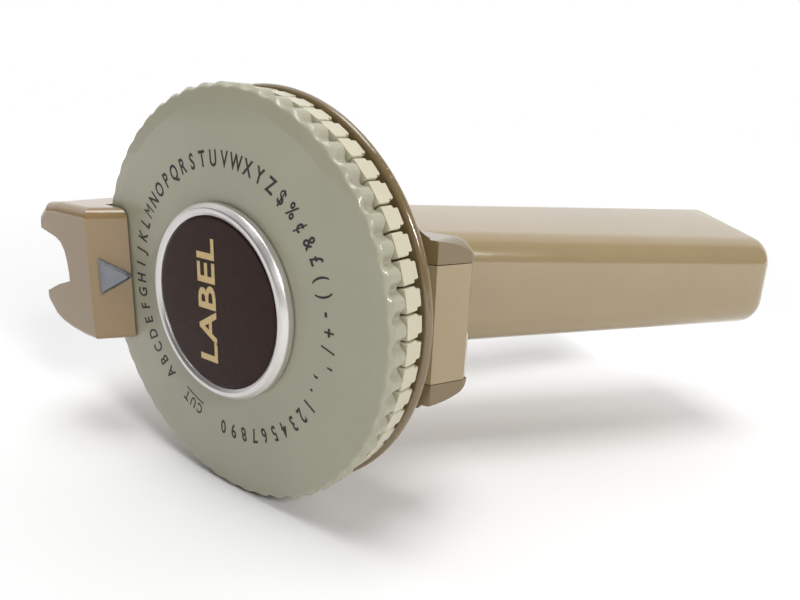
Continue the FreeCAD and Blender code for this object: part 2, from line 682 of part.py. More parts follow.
def ratchet_wheel():
    """Twelve-toothed wheel beside the roller."""
    body = new_body("ratchet_wheel")
    stand(body, "feed_x", "feed_y", "0", FreeCAD.Rotation())
    prism(body, "disc", "Z", [("0", "0", "ratchet_root")], "ratchet_low - 0.8", "ratchet_high")
    prism(body, "bore", "Z", [("0", "0", "axle_radius + 0.05")],
          "ratchet_low - 1", "ratchet_high + 1", cut=True)
    tooth = prism(body, "tooth", "Z", [[
        ("ratchet_root - 0.6", "-0.9"), ("ratchet_radius", "-0.9"), ("ratchet_root", "1.2"),
        ("ratchet_root - 0.6", "1.2")]], "ratchet_low", "ratchet_high")
    around_axis(body, "teeth", tooth, "12", "Z_Axis")
    return body


def ratchet_spring():
    """Leaf that keeps the ratchet wheel from turning back."""
    body = prism_body("ratchet_spring", "Z", [[
        ("feed_x + 5.4", "feed_y - 2"), ("feed_x + 5.8", "feed_y - 2"),
        ("feed_x + 5.8", "cavity_back"), ("feed_x + 5.4", "cavity_back")]],
                      "ratchet_low", "ratchet_high")
    return body


# ---------------------------------------------------------------- grip
def grip_point(u, length, w=0):
    """Return a point of the tool frame: u towards the palm, length along the grip, w up."""
    return PALM * u + AHEAD * length + Z_AXIS * w


def rounded_wire(corners):
    """Return a closed wire through (point, radius) corners, each rounded by an arc."""
    starts, arcs = [], []
    count = len(corners)
    for i, (place, radius) in enumerate(corners):
        behind = (corners[i - 1][0] - place).normalize()
        ahead = (corners[(i + 1) % count][0] - place).normalize()
        half_turn = behind.getAngle(ahead) / 2
        middle = (behind + ahead).normalize()
        enter = place + behind * (radius / math.tan(half_turn))
        leave = place + ahead * (radius / math.tan(half_turn))
        crown = place + middle * (radius / math.sin(half_turn) - radius)
        starts.append((enter, leave))
        arcs.append(Part.Arc(enter, crown, leave).toShape())
    edges = []
    for i in range(count):
        edges.append(arcs[i])
        edges.append(Part.LineSegment(starts[i][1], starts[(i + 1) % count][0]).toShape())
    return Part.Wire(edges)


def grip_section(length, inset, palm_half, finger_half):
    """Return the grip's section across its axis, made smaller all round by the inset."""
    palm = value("palm_side") - inset
    finger = value("finger_side") + inset
    palm_round = value("palm_corner") - inset
    finger_round = value("finger_corner") - inset
    return rounded_wire([
        (grip_point(palm, length, palm_half - inset), palm_round),
        (grip_point(finger, length, finger_half - inset), finger_round),
        (grip_point(finger, length, inset - finger_half), finger_round),
        (grip_point(palm, length, inset - palm_half), palm_round)])


def grip_loft(inset, low, high):
    """Return the solid between the grip's root and end sections."""
    root = grip_section(low, inset, value("palm_root"), value("finger_half"))
    end = grip_section(high, inset, value("palm_end"), value("finger_half_end"))
    return Part.makeLoft([root, end], True, True)


def grip_box(u0, u1, l0, l1, half):
    """Return a box whose sides follow the grip's axes."""
    base = Part.makePolygon([grip_point(u0, l0, -half), grip_point(u1, l0, -half),
                             grip_point(u1, l1, -half), grip_point(u0, l1, -half),
                             grip_point(u0, l0, -half)])
    return Part.Face(base).extrude(Z_AXIS * (2 * half))


def grip_pin(u, length, low, high, radius):
    """Return a cylinder across the grip, along Z."""
    return Part.makeCylinder(radius, high - low, grip_point(u, length, low), Z_AXIS)


def grip_shell():
    """Hollow one-piece grip on the housing's back, open on the finger side."""
    length, wall = value("grip_length"), value("grip_wall")
    finger, half = value("finger_side"), value("cover_half")
    start, end = value("cover_start"), value("cover_end")
    ledge, thick = value("cover_ledge"), value("cover_thick")
    outer = grip_loft(0, 0, length)
    tip = [edge for edge in outer.Edges
           if min(AHEAD.dot(vertex.Point) for vertex in edge.Vertexes) > length - 0.01]
    outer = outer.makeFillet(value("end_round"), tip)
    hollow = grip_loft(wall, -1, length - wall)
    seat = grip_box(finger - 1, finger + thick, start, end, half)
    window = grip_box(finger, finger + wall + 1, start + ledge, end - ledge, half - ledge)
    root = Part.makeBox(120, 60, 80, FreeCAD.Vector(-60, value("body_back") - 60, -40))
    shell = outer.cut(hollow.fuse([seat, window, root]))
    for x, z in GRIP_BOLTS:
        low = -20 if value(z) < 0 else value(z) - 2.5
        corner = FreeCAD.Vector(value(x) - 4.5, value("body_back"), low)
        lug = Part.makeBox(9, 8, 22.5 - abs(value(z)), corner)
        bore = Part.makeCylinder(value("bolt_radius"), 7,
                                 FreeCAD.Vector(value(x), value("body_back") - 1, value(z)), Y_AXIS)
        shell = shell.fuse(lug.common(outer)).cut(bore)
    for place in COVER_SCREWS:
        shell = shell.cut(grip_screw(place))
    return shape_node("grip_shell", shell.removeSplitter())


def grip_screw(place):
    """Return one cover screw: its head lies in the cover, its shank in the shell's ledge."""
    outside = grip_point(value("finger_side"), place)
    shank = Part.makeCylinder(0.7, value("grip_wall") - 0.1, outside, PALM)
    head = Part.makeCone(1.6, 0.7, 0.9, outside, PALM)
    return shank.fuse(head)


def grip_cover():
    """Plate over the tape room on the finger side."""
    gap = 0.1
    finger = value("finger_side")
    plate = grip_box(finger, finger + value("cover_thick"), value("cover_start") + gap,
                     value("cover_end") - gap, value("cover_half") - gap)
    for place in COVER_SCREWS:
        plate = plate.cut(grip_screw(place))
    return shape_node("grip_cover", plate)


def cover_screws():
    """The cover's two countersunk screws."""
    return shape_node("cover_screws", Part.makeCompound(
        [grip_screw(place).removeSplitter() for place in COVER_SCREWS]))


def grip_bolts():
    """Bolts from inside the housing into the grip's lugs."""
    bolts = []
    for x, z in GRIP_BOLTS:
        inside = FreeCAD.Vector(value(x), value("cavity_back"), value(z))
        shank = Part.makeCylinder(value("bolt_radius"), 7, inside, Y_AXIS)
        head = Part.makeCylinder(value("bolt_head"), 1.6, inside - Y_AXIS * 1.6, Y_AXIS)
        bolts.append(shank.fuse(head).removeSplitter())
    return shape_node("grip_bolts", Part.makeCompound(bolts))


# ---------------------------------------------------------------- tape magazine
def tape_magazine():
    """U-shaped frame that holds the tape spool, seated on the grip's palm wall."""
    wall = value("palm_side - grip_wall")
    half, plate = value("magazine_half"), value("magazine_plate")
    middle, reach = value("spool_at"), value("magazine_length / 2")
    far = value("spool_across") - 6
    block = grip_box(far, wall, middle - reach, middle + reach, half)
    room = grip_box(far - 1, wall - plate, middle - reach - 1, middle + reach + 1, half - plate)
    post = grip_pin(value("spool_across"), middle, -half, half, value("spool_post"))
    inside = grip_loft(value("grip_wall"), -1, value("grip_length - grip_wall"))
    return shape_node("tape_magazine", block.common(inside).cut(room).cut(post))


def spool_post():
    """Post across the magazine."""
    half = value("magazine_half")
    return shape_node("spool_post", grip_pin(
        value("spool_across"), value("spool_at"), -half, half, value("spool_post")))


def tape_spool():
    """Flanged spool that turns on the post."""
    across, along = value("spool_across"), value("spool_at")
    tape, flange = value("tape_half"), value("flange_thick")
    spool = grip_pin(across, along, -tape, tape, value("spool_hub"))
    for low in (-tape - flange, tape):
        spool = spool.fuse(grip_pin(across, along, low, low + flange, value("spool_radius")))
    for i in range(6):
        turn = math.radians(60 * i)
        spool = spool.cut(grip_pin(across + 9 * math.cos(turn), along + 9 * math.sin(turn),
                                   -tape - 2, tape + 2, 2.2))
    bore = grip_pin(across, along, -tape - 2, tape + 2, value("spool_post + 0.05"))
    return shape_node("tape_spool", spool.cut(bore).removeSplitter())


def tape_roll():
    """Roll of embossing tape wound on the spool."""
    across, along, tape = value("spool_across"), value("spool_at"), value("tape_half")
    roll = grip_pin(across, along, -tape + 0.1, tape - 0.1, value("tape_radius"))
    hole = grip_pin(across, along, -tape, tape, value("spool_hub"))
    return shape_node("tape_roll", roll.cut(hole))


# ---------------------------------------------------------------- build and write
AHEAD = FreeCAD.Vector(math.cos(math.radians(value("grip_angle"))),
                       math.sin(math.radians(value("grip_angle"))), 0)
PALM = FreeCAD.Vector(AHEAD.y, -AHEAD.x, 0)
COVER_SCREWS = [value("cover_start + 1"), value("cover_end - 1")]

whole_housing = housing_solid()
housing_openings(whole_housing)
body_posts(whole_housing)
door_pin = prism_body("door_pin", "Z", [("pin_x", "pin_y", "pin_radius")],
                      "-pin_half", "pin_half")
nodes = [
    housing_half("housing_upper", whole_housing, "0", "wall_radius + 1"),
    housing_half("housing_lower", whole_housing, "-wall_radius - 1", "0"),
    housing_bolts(), rear_door(), door_pin, nose_pointer(), cutter_blade(), anvil_pad(),
    hub_post(), hub_ring(), hub_badge(), hub_screw(), hub_washer(), detent_plunger(),
    detent_spring(), dial_front_disc(), dial_finger_disc(), dial_bush(), dial_rivets(),
    detent_ring(), hammer(), lever(), lever_pin(), lever_spring(), feed_axle(), feed_roller(),
    ratchet_wheel(), ratchet_spring(), grip_shell(), grip_cover(), cover_screws(), grip_bolts(),
    tape_magazine(), spool_post(), tape_spool(), tape_roll(),
]
doc.recompute()

for item in doc.Objects:
    if "Invalid" in item.State or "Error" in item.State:
        raise RuntimeError("%s: %s" % (item.Label, item.State))
os.makedirs("parts", exist_ok=True)
for node in nodes:
    shape = node.Shape
    if shape.isNull() or not shape.isValid() or not shape.Solids:
        raise RuntimeError("%s has no valid solid" % node.Label)
    shape.exportStep("parts/%s.step" % node.Label)
    box = shape.optimalBoundingBox()
    print("%-18s %d solid(s) %8.0f mm3  X %.1f %.1f  Y %.1f %.1f  Z %.1f %.1f" % (
        node.Label, len(shape.Solids), shape.Volume,
        box.XMin, box.XMax, box.YMin, box.YMax, box.ZMin, box.ZMax))
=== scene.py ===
"""Looks for the label maker: a dial with printed characters on a glossy beige hand tool."""
import json
import math

import bmesh
import bpy
from mathutils import Matrix, Vector


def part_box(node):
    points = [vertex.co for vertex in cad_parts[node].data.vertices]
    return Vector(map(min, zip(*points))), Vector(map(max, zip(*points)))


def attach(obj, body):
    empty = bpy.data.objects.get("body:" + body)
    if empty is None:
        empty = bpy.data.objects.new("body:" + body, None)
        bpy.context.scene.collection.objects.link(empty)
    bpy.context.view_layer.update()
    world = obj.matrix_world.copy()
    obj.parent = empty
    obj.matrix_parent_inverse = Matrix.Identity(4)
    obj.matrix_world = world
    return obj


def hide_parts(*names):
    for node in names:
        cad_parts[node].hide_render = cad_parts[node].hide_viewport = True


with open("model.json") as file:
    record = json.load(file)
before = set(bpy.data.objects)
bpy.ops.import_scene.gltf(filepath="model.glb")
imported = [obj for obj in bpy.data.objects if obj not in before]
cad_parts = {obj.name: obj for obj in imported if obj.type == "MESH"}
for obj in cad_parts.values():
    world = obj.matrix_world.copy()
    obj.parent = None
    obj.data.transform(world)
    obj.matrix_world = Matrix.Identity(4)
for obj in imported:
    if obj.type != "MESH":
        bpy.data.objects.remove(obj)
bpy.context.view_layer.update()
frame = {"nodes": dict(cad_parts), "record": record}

MM = 0.001
TURN = 2 * math.pi

# ------------------------------------------------------------------ places, from the frame
post_low, post_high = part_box("hub_post")
disc_low, disc_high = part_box("dial_front_disc")
HEAD = Vector(((post_low.x + post_high.x) / 2, disc_low.y, (post_low.z + post_high.z) / 2))
DIAL_RADIUS = (disc_high.z - disc_low.z) / 2 / MM
GRIP_TURN = math.radians(50)
AHEAD = Vector((math.cos(GRIP_TURN), math.sin(GRIP_TURN), 0))
PALM = Vector((math.sin(GRIP_TURN), -math.cos(GRIP_TURN), 0))
UP = Vector((0, 0, 1))


def place(x, y, z):
    """Turn millimetres in the tool's frame (dial axis and face) into the row's metres."""
    return HEAD + Vector((x, y, z)) * MM


# ------------------------------------------------------------------ materials
def new_material(name, color, rough, metal=0.0, coat=0.0, coat_rough=0.1, specular=0.5):
    """Start a material: (material, node tree, shader)."""
    material = bpy.data.materials.new(name)
    material.use_nodes = True
    tree = material.node_tree
    shader = tree.nodes["Principled BSDF"]
    shader.inputs["Base Color"].default_value = (*color, 1)
    shader.inputs["Roughness"].default_value = rough
    shader.inputs["Metallic"].default_value = metal
    shader.inputs["Coat Weight"].default_value = coat
    shader.inputs["Coat Roughness"].default_value = coat_rough
    shader.inputs["Specular IOR Level"].default_value = specular
    return material, tree, shader


def noise(tree, scale, detail=4.0, rough=0.55, stretch=(1, 1, 1)):
    """Noise in the object's own coordinates, in cells per metre."""
    coords = tree.nodes.new("ShaderNodeTexCoord")
    mapping = tree.nodes.new("ShaderNodeMapping")
    mapping.inputs["Scale"].default_value = stretch
    texture = tree.nodes.new("ShaderNodeTexNoise")
    texture.inputs["Scale"].default_value = scale
    texture.inputs["Detail"].default_value = detail
    texture.inputs["Roughness"].default_value = rough
    tree.links.new(coords.outputs["Object"], mapping.inputs["Vector"])
    tree.links.new(mapping.outputs["Vector"], texture.inputs["Vector"])
    return texture.outputs["Fac"]


def ramp(tree, source, stops):
    """Colour ramp through (position, colour) stops."""
    node = tree.nodes.new("ShaderNodeValToRGB")
    elements = node.color_ramp.elements
    while len(elements) < len(stops):
        elements.new(0.5)
    for element, (position, color) in zip(elements, stops):
        element.position = position
        element.color = (*color, 1)
    tree.links.new(source, node.inputs["Fac"])
    return node.outputs["Color"]


def blend_colors(tree, factor, first, second):
    """Mix two colours by a factor."""
    node = tree.nodes.new("ShaderNodeMix")
    node.data_type = "RGBA"
    tree.links.new(factor, node.inputs[0])
    for socket, color in ((node.inputs[6], first), (node.inputs[7], second)):
        if isinstance(color, tuple):
            socket.default_value = (*color, 1)
        else:
            tree.links.new(color, socket)
    return node.outputs[2]


def spread(tree, source, low, high):
    """Map a 0..1 value to a range."""
    node = tree.nodes.new("ShaderNodeMapRange")
    node.inputs["To Min"].default_value = low
    node.inputs["To Max"].default_value = high
    tree.links.new(source, node.inputs["Value"])
    return node.outputs["Result"]


def bump(tree, shader, source, strength, distance):
    """Give the shader a bump from a height."""
    node = tree.nodes.new("ShaderNodeBump")
    node.inputs["Strength"].default_value = strength
    node.inputs["Distance"].default_value = distance
    tree.links.new(source, node.inputs["Height"])
    tree.links.new(node.outputs["Normal"], shader.inputs["Normal"])


def mottled(tree, color, shade):
    """Slow blotches between a colour and a darker shade of it."""
    deep = tuple(c * shade for c in color)
    return ramp(tree, noise(tree, 38, 5), [(0.35, deep), (0.65, color)])


def aged_plastic(name, color, stain, rough, coat, far_color=None):
    """Moulded plastic with faint blotches, grime in patches and an orange-peel gloss.

    far_color, if given, is the tone of the nose, away from the rest along X.
    """
    material, tree, shader = new_material(name, color, rough, coat=coat, coat_rough=0.06)
    tone = mottled(tree, color, 0.93)
    if far_color:
        coords = tree.nodes.new("ShaderNodeTexCoord")
        split = tree.nodes.new("ShaderNodeSeparateXYZ")
        along = tree.nodes.new("ShaderNodeMapRange")
        along.inputs["From Min"].default_value = place(-30, 0, 0).x
        along.inputs["From Max"].default_value = place(-42, 0, 0).x
        tree.links.new(coords.outputs["Object"], split.inputs["Vector"])
        tree.links.new(split.outputs["X"], along.inputs["Value"])
        tone = blend_colors(tree, along.outputs["Result"], tone, mottled(tree, far_color, 0.94))
    grime = ramp(tree, noise(tree, 150, 8, 0.7), [(0.66, (0, 0, 0)), (0.86, (1, 1, 1))])
    to_value = tree.nodes.new("ShaderNodeRGBToBW")
    tree.links.new(grime, to_value.inputs["Color"])
    weak = spread(tree, to_value.outputs["Val"], 0.0, 0.35)
    tree.links.new(blend_colors(tree, weak, tone, stain), shader.inputs["Base Color"])
    tree.links.new(spread(tree, noise(tree, 90, 6), rough - 0.05, rough + 0.08),
                   shader.inputs["Roughness"])
    bump(tree, shader, noise(tree, 420, 3), 0.06, 0.0004)
    return material


def brushed(name, color, rough, stretch):
    """Metal with fine lines along one direction."""
    material, tree, shader = new_material(name, color, rough, metal=1.0)
    lines = noise(tree, 900, 6, 0.6, stretch)
    dark = tuple(c * 0.8 for c in color)
    tree.links.new(ramp(tree, lines, [(0.3, dark), (0.7, color)]), shader.inputs["Base Color"])
    tree.links.new(spread(tree, lines, rough - 0.08, rough + 0.1), shader.inputs["Roughness"])
    bump(tree, shader, lines, 0.08, 0.0002)
    return material


def ring_metal():
    """Satin aluminium turned on a lathe: fine circles round the dial's axis."""
    color = (0.72, 0.70, 0.68)
    material, tree, shader = new_material("ring_metal", color, 0.3, metal=0.85)
    coords = tree.nodes.new("ShaderNodeTexCoord")
    shift = tree.nodes.new("ShaderNodeVectorMath")
    shift.operation = "SUBTRACT"
    shift.inputs[1].default_value = HEAD
    flat = tree.nodes.new("ShaderNodeVectorMath")
    flat.operation = "MULTIPLY"
    flat.inputs[1].default_value = (1, 0, 1)
    length = tree.nodes.new("ShaderNodeVectorMath")
    length.operation = "LENGTH"
    texture = tree.nodes.new("ShaderNodeTexNoise")
    texture.noise_dimensions = "1D"
    texture.inputs["Scale"].default_value = 9000
    tree.links.new(coords.outputs["Object"], shift.inputs[0])
    tree.links.new(shift.outputs["Vector"], flat.inputs[0])
    tree.links.new(flat.outputs["Vector"], length.inputs[0])
    tree.links.new(length.outputs["Value"], texture.inputs["W"])
    rings = texture.outputs["Fac"]
    tree.links.new(ramp(tree, rings, [(0.3, (0.60, 0.58, 0.56)), (0.7, color)]),
                   shader.inputs["Base Color"])
    tree.links.new(spread(tree, noise(tree, 200, 5), 0.26, 0.42), shader.inputs["Roughness"])
    bump(tree, shader, rings, 0.05, 0.0001)
    return material


def badge_foil():
    """Dark brown foil with a fine grain and dust."""
    material, tree, shader = new_material("badge_foil", (0.030, 0.012, 0.008), 0.45,
                                          specular=0.12)
    grain = noise(tree, 700, 8, 0.7)
    tree.links.new(ramp(tree, grain, [(0.35, (0.024, 0.010, 0.007)), (0.62, (0.034, 0.014, 0.010)),
                                      (0.8, (0.050, 0.028, 0.020))]), shader.inputs["Base Color"])
    tree.links.new(spread(tree, noise(tree, 120, 5), 0.22, 0.42), shader.inputs["Roughness"])
    return material


def print_ink(name, color, rough, metal=0.0):
    """Printed ink or foil that is a little uneven."""
    material, tree, shader = new_material(name, color, rough, metal=metal)
    dull = tuple(c * 0.8 + 0.012 for c in color)
    tree.links.new(ramp(tree, noise(tree, 1500, 6, 0.7), [(0.35, color), (0.7, dull)]),
                   shader.inputs["Base Color"])
    tree.links.new(spread(tree, noise(tree, 400, 4), rough - 0.06, rough + 0.12),
                   shader.inputs["Roughness"])
    return material


BEIGE = aged_plastic("beige_gloss", (0.33, 0.25, 0.135), (0.13, 0.09, 0.05), 0.16, 0.6)
# The housing gets a darker copy of the beige plastic as painted shade, least darkened towards the
# nose
HOUSING_SHADED_COPY = aged_plastic("housing_painted_shade", (0.185, 0.130, 0.060), (0.08, 0.055, 0.028), 0.18, 0.45,
                       (0.27, 0.18, 0.082))
# One ivory plastic in two copies for how light falls: the face's copy is darkened as painted shade,
# the fingers' copy is lighter as painted light
IVORY_SHADED_COPY = aged_plastic("ivory_face_shaded_copy", (0.355, 0.342, 0.245), (0.19, 0.14, 0.08), 0.32, 0.3)
IVORY_LIT_COPY = aged_plastic("ivory_fingers_lit_copy", (0.54, 0.50, 0.36), (0.30, 0.22, 0.13), 0.34, 0.3)
DARK = aged_plastic("black_plastic", (0.03, 0.03, 0.032), (0.09, 0.08, 0.07), 0.45, 0.0)
TAPE = aged_plastic("red_tape", (0.42, 0.025, 0.03), (0.2, 0.02, 0.02), 0.25, 0.3)
STEEL = brushed("steel", (0.55, 0.55, 0.56), 0.32, (1, 1, 0.1))
GREY = brushed("grey_metal", (0.235, 0.245, 0.262), 0.38, (1, 1, 0.3))
RING = ring_metal()
FOIL = badge_foil()
BLACK_INK = print_ink("black_ink", (0.004, 0.004, 0.005), 0.5)
GOLD_INK = print_ink("gold_foil", (0.60, 0.44, 0.20), 0.35, metal=0.35)

SLOT_MATERIAL = {"beige_plastic": BEIGE, "ivory_plastic": IVORY_SHADED_COPY, "silver": RING,
                 "brown_foil": FOIL, "grey_metal": GREY, "steel": STEEL, "tape": TAPE,
                 "black_plastic": DARK}


# ------------------------------------------------------------------ mesh helpers
def object_from(name, bm, material, body, nodes=(), flat=35):
    """Finish a mesh piece: link it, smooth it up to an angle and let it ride."""
    bmesh.ops.recalc_face_normals(bm, faces=bm.faces)
    mesh = bpy.data.meshes.new(name)
    bm.to_mesh(mesh)
    bm.free()
    piece = bpy.data.objects.new(name, mesh)
    bpy.context.scene.collection.objects.link(piece)
    mesh.materials.append(material)
    mesh.polygons.foreach_set("use_smooth", [True] * len(mesh.polygons))
    mesh.set_sharp_from_angle(angle=math.radians(flat))
    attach(piece, body)
    if nodes:
        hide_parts(*nodes)
    return piece


def rounded(points, steps=5):
    """Round the corners of a closed outline of (x, y, radius) and return plain (x, y) points."""
    outline = []
    count = len(points)
    for i, (x, y, radius) in enumerate(points):
        corner = Vector((x, y))
        if radius == 0:
            outline.append(corner)
            continue
        behind = (Vector(points[i - 1][:2]) - corner).normalized()
        ahead = (Vector(points[(i + 1) % count][:2]) - corner).normalized()
        half = behind.angle(ahead) / 2
        centre = corner + (behind + ahead).normalized() * (radius / math.sin(half))
        first = corner + behind * (radius / math.tan(half)) - centre
        last = corner + ahead * (radius / math.tan(half)) - centre
        sweep = first.angle_signed(last)
        for k in range(steps + 1):
            turn = Matrix.Rotation(-sweep * k / steps, 2)
            outline.append(centre + turn @ first)
    return outline


def loft(bm, rings):
    """Skin a row of outlines of equal length and close both ends."""
    for low, high in zip(rings, rings[1:]):
        for i in range(len(low)):
            j = (i + 1) % len(low)
            bm.faces.new((low[i], low[j], high[j], high[i]))
    bm.faces.new(rings[0])
    bm.faces.new(list(reversed(rings[-1])))


def lathe(bm, outline, segments, shape=None):
    """Turn a closed outline of (radius, y) about the dial's axis.

    shape(radius, y, angle) may change the radius with the angle.
    """
    rings = []
    for k in range(segments):
        angle = TURN * k / segments
        ring = []
        for radius, y in outline:
            r = shape(radius, y, angle) if shape else radius
            ring.append(bm.verts.new(place(r * math.cos(angle), y, r * math.sin(angle))))
        rings.append(ring)
    count = len(outline)
    for k in range(segments):
        here, there = rings[k], rings[(k + 1) % segments]
        for i in range(count):
            j = (i + 1) % count
            bm.faces.new((here[i], here[j], there[j], there[i]))


def lathe_piece(name, points, segments, material, body, nodes, steps=5, shape=None):
    """Make a turned piece from a closed outline of (radius, y, corner radius)."""
    bm = bmesh.new()
    lathe(bm, rounded(points, steps), segments, shape)
    return object_from(name, bm, material, body, nodes)


# ------------------------------------------------------------------ dial
POSITIONS = 54
PITCH = TURN / POSITIONS
FACE_EDGE = DIAL_RADIUS - 3.6     # where the grooves of the rim begin
SCALLOP_DEPTH = 1.75
FINGER_MIDDLE = 8.8               # y of a finger's middle
LETTER_RADIUS = 33.7
LETTER_WIDTH = 0.72               # narrow letters: width against the font's own
INK = 0.03                        # thickness of the print
CHARACTERS = "ABCDEFGHIJKLMNOPQRSTUVWXYZ$%¢&£()-+/',.1234567890"
POINTER_INDEX = CHARACTERS.index("H")
CUT_INDEX = 51.2                  # the place of the word CUT, counted in positions from A


def scalloped(radius, y, angle):
    """Push the rim in between its rounded grips.

    The grooves have their full depth from 3.3 mm outside FACE_EDGE and 2.9 mm behind the face.
    At the face a fifth of it is left.
    """
    wave = 0.5 + 0.5 * math.cos(angle * POSITIONS)
    outwards = min(1.0, max(0.0, (radius - FACE_EDGE) / 3.3))
    backwards = min(1.0, max(0.0, (y - 0.3) / 2.6))
    deepening = 0.2 + 0.8 * backwards * backwards * (3 - 2 * backwards)
    return radius - SCALLOP_DEPTH * wave ** 1.6 * outwards * deepening


def front_disc():
    """The face with its soft edge and scalloped rim, and the plain hub behind it."""
    outline = [(12, 0, 0.2), (30, 0, 0), (38, 0, 0), (46, 0, 2), (49.7, 0.25, 1.0),
               (DIAL_RADIUS, 1.3, 0.7), (DIAL_RADIUS, 2.1, 0), (DIAL_RADIUS, 2.9, 0),
               (DIAL_RADIUS, 5.5, 0.8), (44, 5.6, 0.4), (43, 3.2, 0.5),
               (20, 3.2, 0.5), (20, 5.9, 0.2), (12, 5.9, 0.2)]
    # the face takes the darker ivory copy: painted shade
    return lathe_piece("dial_face", outline, POSITIONS * 16, IVORY_SHADED_COPY, "dial",
                       ["dial_front_disc"], 6, scalloped)


def finger_outline(scale):
    """Section of a finger (x across, y along the dial's axis): a block with a rear tab."""
    wide, tab = 2.7 * scale, 2.0 * scale
    return rounded([(-wide, 6.15, 0.3), (wide, 6.15, 0.3), (wide, 9.9, 0.35), (tab, 10.0, 0.2),
                    (tab, 11.5, 0.3), (-tab, 11.5, 0.3), (-tab, 10.0, 0.2), (-wide, 9.9, 0.35)], 3)


def finger_disc():
    """Separate fingers on a common web."""
    bm = bmesh.new()
    # radius, and width there as a share of the full one: a little round at the tip
    levels = [(38.0, 0.75), (47.2, 0.945), (49.4, 0.985), (49.75, 0.965), (49.9, 0.92)]
    for k in range(POSITIONS):
        angle = (k + 0.5) * PITCH
        outward = Vector((math.cos(angle), 0, math.sin(angle)))
        across = Vector((-math.sin(angle), 0, math.cos(angle)))
        rings = []
        for radius, scale in levels:
            ring = []
            for x, y in finger_outline(scale):
                point = outward * radius + across * x
                slimmer = 1 if radius < 49.5 else 0.97
                y_in = FINGER_MIDDLE + (y - FINGER_MIDDLE) * slimmer
                ring.append(bm.verts.new(place(point.x, y_in, point.z)))
            rings.append(ring)
        loft(bm, rings)
    lathe(bm, rounded([(12, 6.1, 0.2), (39, 6.1, 0.2), (39, 11.0, 0.4), (36, 9.4, 0.5),
                       (20, 9.4, 0.5), (20, 11.5, 0.3), (12, 11.5, 0.3)], 4), POSITIONS * 4)
    # the fingers take the lighter ivory copy: painted light
    return object_from("dial_fingers", bm, IVORY_LIT_COPY, "dial", ["dial_finger_disc"])


def text_mesh(text, height, widen, bold, middle, turn):
    """Make a thin printed word that lies across the dial's axis with its centre at middle.

    Its top points along +Z at turn 0, and turn spins it about the dial's axis.
    """
    curve = bpy.data.curves.new(text, "FONT")
    curve.body = text
    curve.size = 1.0
    curve.align_x = "CENTER"
    curve.align_y = "CENTER"
    curve.offset = bold
    curve.resolution_u = 3
    curve.extrude = 0.5
    text_object = bpy.data.objects.new(text, curve)
    bpy.context.scene.collection.objects.link(text_object)
    bpy.context.view_layer.update()
    mesh = bpy.data.meshes.new_from_object(text_object)
    bpy.data.objects.remove(text_object)
    size = height / 0.7 * MM      # the font's capitals are 0.7 of its size
    fit = Matrix.Diagonal((size * widen, size, INK * MM, 1))
    upright = Matrix.Rotation(math.pi / 2, 4, "X")
    spin = Matrix.Rotation(turn, 4, "Y")
    mesh.transform(Matrix.Translation(middle) @ spin @ upright @ fit)
    return mesh


def dial_angle(index):
    """Angle about the dial's axis of a place counted in positions from A; H is at the nose."""
    return math.pi + (POINTER_INDEX - index) * PITCH


def print_letter(bm, letter, index, height, bold):
    """Print one letter on the ring of characters, its top outwards."""
    angle = dial_angle(index)
    middle = place(LETTER_RADIUS * math.cos(angle), -0.01, LETTER_RADIUS * math.sin(angle))
    bm.from_mesh(text_mesh(letter, height, LETTER_WIDTH, bold, middle, math.pi / 2 - angle))


def underline(bm, radius, middle):
    """Add the short printed line beside the word, bent round the dial's axis."""
    steps, half, wide = 10, 1.0 * PITCH, 0.4
    front, back = -0.025, INK - 0.025
    rings = []
    for k in range(steps + 1):
        angle = middle - half + 2 * half * k / steps
        ring = []
        for r, y in ((radius, front), (radius + wide, front), (radius + wide, back),
                     (radius, back)):
            ring.append(bm.verts.new(place(r * math.cos(angle), y, r * math.sin(angle))))
        rings.append(ring)
    loft(bm, rings)


def dial_characters():
    """Black characters round the face, tops outwards, and the word for the cutting place."""
    bm = bmesh.new()
    for index, character in enumerate(CHARACTERS):
        bold = 0.0 if character == "M" else 0.021     # a bolder M closes up into a blot
        print_letter(bm, character, index, 3.7, bold)
    for offset, letter in ((-0.7, "C"), (0.0, "U"), (0.7, "T")):
        print_letter(bm, letter, CUT_INDEX + offset, 3.0, 0.02)
    underline(bm, LETTER_RADIUS - 2.5, dial_angle(CUT_INDEX))
    return object_from("dial_characters", bm, BLACK_INK, "dial", flat=30)


# ------------------------------------------------------------------ hub
def hub_ring():
    """Satin ring: a rounded outer shoulder, a flat and a bevel down to the badge."""
    outline = [(3.4, -2.05, 0), (21.0, -2.05, 0), (21.15, -2.75, 0.1), (21.9, -3.28, 0.3),
               (22.9, -3.28, 0.6), (23.98, -2.0, 0.9), (23.98, -0.36, 0.1), (3.4, -0.36, 0)]
    return lathe_piece("hub_ring_turned", outline, 256, RING, "frame", ["hub_ring"], 6)


def hub_badge():
    """Brown badge with the lightest dome."""
    outline = [(0.02, -2.1, 0), (0.02, -2.88, 0), (12, -2.84, 0), (20.4, -2.7, 0.2),
               (21.0, -2.5, 0.15), (21.0, -2.1, 0)]
    return lathe_piece("hub_badge_foil", outline, 192, FOIL, "frame",
                       ["hub_badge"], 4)


def badge_word():
    """A plain gold word that reads upwards, its top towards the nose."""
    bm = bmesh.new()
    bm.from_mesh(text_mesh("LABEL", 6.2, 1.3, 0.02, place(-2.2, -2.9, 0.0), -math.pi / 2))
    return object_from("badge_word", bm, GOLD_INK, "frame", flat=30)


# ------------------------------------------------------------------ grip
def grip_place(across, along, high):
    """A point of the grip: across towards the palm, along its axis, high above the middle."""
    return HEAD + (PALM * across + AHEAD * along + UP * high) * MM


def grip_outline(palm, finger, palm_half, finger_half, inset, steps=10):
    """Rounded section of the grip as (across, high) points."""
    return rounded([(palm - inset, palm_half - inset, 8 - inset),
                    (finger + inset, finger_half - inset, 6 - inset),
                    (finger + inset, inset - finger_half, 6 - inset),
                    (palm - inset, inset - palm_half, 8 - inset)], steps)


